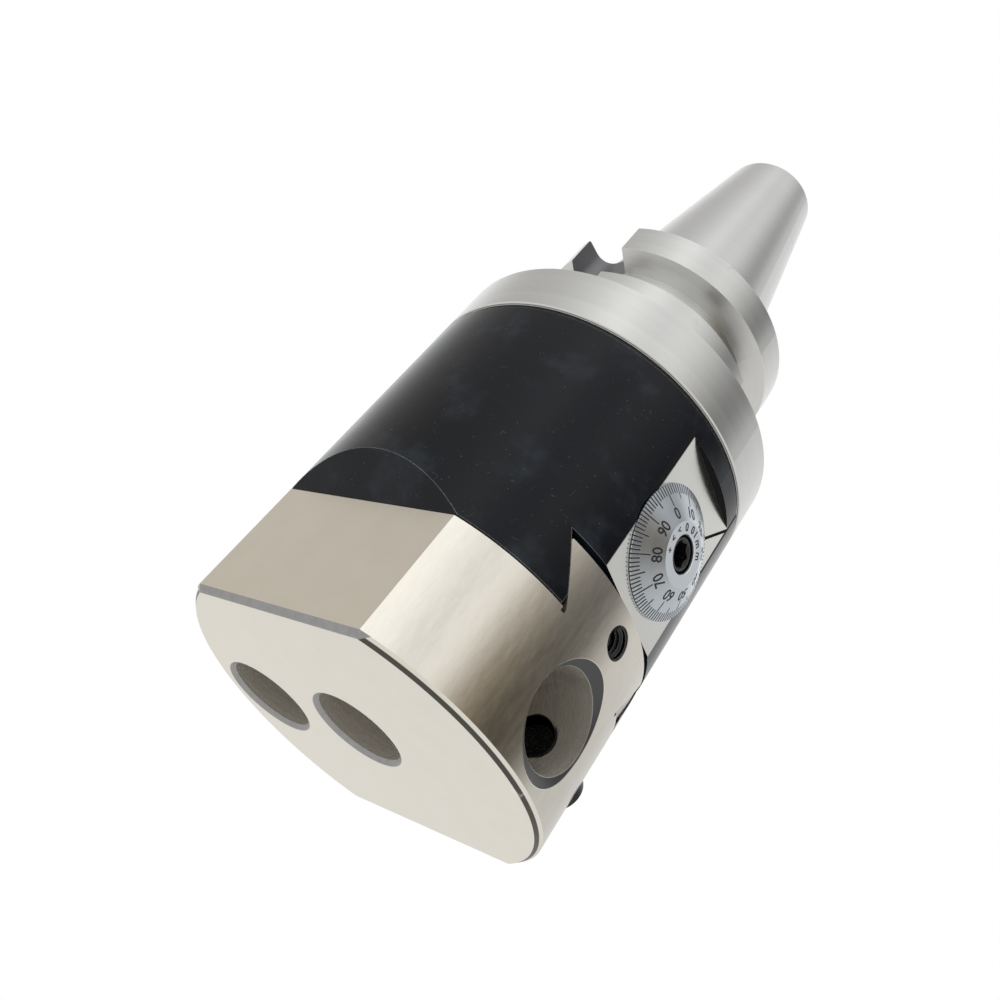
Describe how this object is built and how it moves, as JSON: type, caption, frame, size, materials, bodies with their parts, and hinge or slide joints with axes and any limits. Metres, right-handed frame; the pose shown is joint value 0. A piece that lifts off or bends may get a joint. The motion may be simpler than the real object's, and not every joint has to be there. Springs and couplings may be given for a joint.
{
  "type": "boring head",
  "caption": "Micro-adjust boring head on a steep-taper shank: a dovetail slide with bar bores is fed by a graduated dial",
  "frame": {"origin": "centre of the slide's front face, on the spindle axis, with the slide at mid travel", "axes": "+Z along the spindle axis from the slide towards the taper; +X towards the feed dial and the side bore; +Y towards the clamp screws"},
  "size_m": [0.0858, 0.084, 0.2019],
  "materials": {
    "turned_steel": "fine turned and ground",
    "black_ring": "matt black",
    "black_oxide_body": "satin black oxide",
    "ground_gib": "ground",
    "plain_steel": "machined",
    "bearing_bronze": "machined bronze",
    "black_screw": "black oxide",
    "oiler_brass": "turned",
    "ball_steel": "polished",
    "satin_chrome_dial": "satin chrome with engraved black marks",
    "nickel_slide": "satin nickel plate"
  },
  "bodies": {
    "head": {"taper_shank": "turned_steel", "joint_ring": "black_ring", "head_housing": "black_oxide_body", "shank_screw_1": "black_screw", "shank_screw_2": "black_screw", "shank_screw_3": "black_screw", "shank_screw_4": "black_screw", "shank_screw_5": "black_screw", "shank_screw_6": "black_screw", "dowel_pin_1": "plain_steel", "dowel_pin_2": "plain_steel", "gib_strip": "ground_gib", "gib_screw_1": "black_screw", "gib_screw_2": "black_screw", "screw_retainer": "plain_steel", "thrust_washer": "bearing_bronze", "rear_bush": "bearing_bronze", "bore_plug": "black_screw", "oiler_body": "oiler_brass", "oiler_ball": "ball_steel"},
    "dial": {"feed_screw": "black_screw", "graduated_dial": "satin_chrome_dial", "dial_pin": "plain_steel"},
    "slide": {"tool_slide": "nickel_slide", "feed_nut": "bearing_bronze", "nut_post_screw": "black_screw"},
    "centre_clamp": {"centre_clamp_screw": "black_screw"},
    "offset_clamp": {"offset_clamp_screw": "black_screw"},
    "side_clamp": {"side_clamp_screw": "black_screw"},
    "slide_lock": {"slide_lock_screw": "black_screw"}
  },
  "joints": [
    {"name": "dial_turn", "type": "hinge", "parent": "head", "child": "dial", "pos_m": [0.042, 0, 0.0588], "axis": [1, 0, 0], "range_deg": [-3600, 3600]},
    {"name": "slide_feed", "type": "slide", "parent": "head", "child": "slide", "axis": [-1, 0, 0], "range_m": [-0.005, 0.005]},
    {"name": "centre_clamp_travel", "type": "slide", "parent": "slide", "child": "centre_clamp", "axis": [0, 1, 0], "range_m": [-0.0009, 0.004]},
    {"name": "offset_clamp_travel", "type": "slide", "parent": "slide", "child": "offset_clamp", "axis": [0, 1, 0], "range_m": [-0.0009, 0.004]},
    {"name": "side_clamp_travel", "type": "slide", "parent": "slide", "child": "side_clamp", "axis": [0, 1, 0], "range_m": [-0.0009, 0.004]},
    {"name": "slide_lock_travel", "type": "slide", "parent": "head", "child": "slide_lock", "axis": [0, 1, 0], "range_m": [0, 0.003]}
  ],
  "couplings": [
    {"joint": "dial_turn", "follows": "slide_feed", "rad_per_m": 12566}
  ]
}
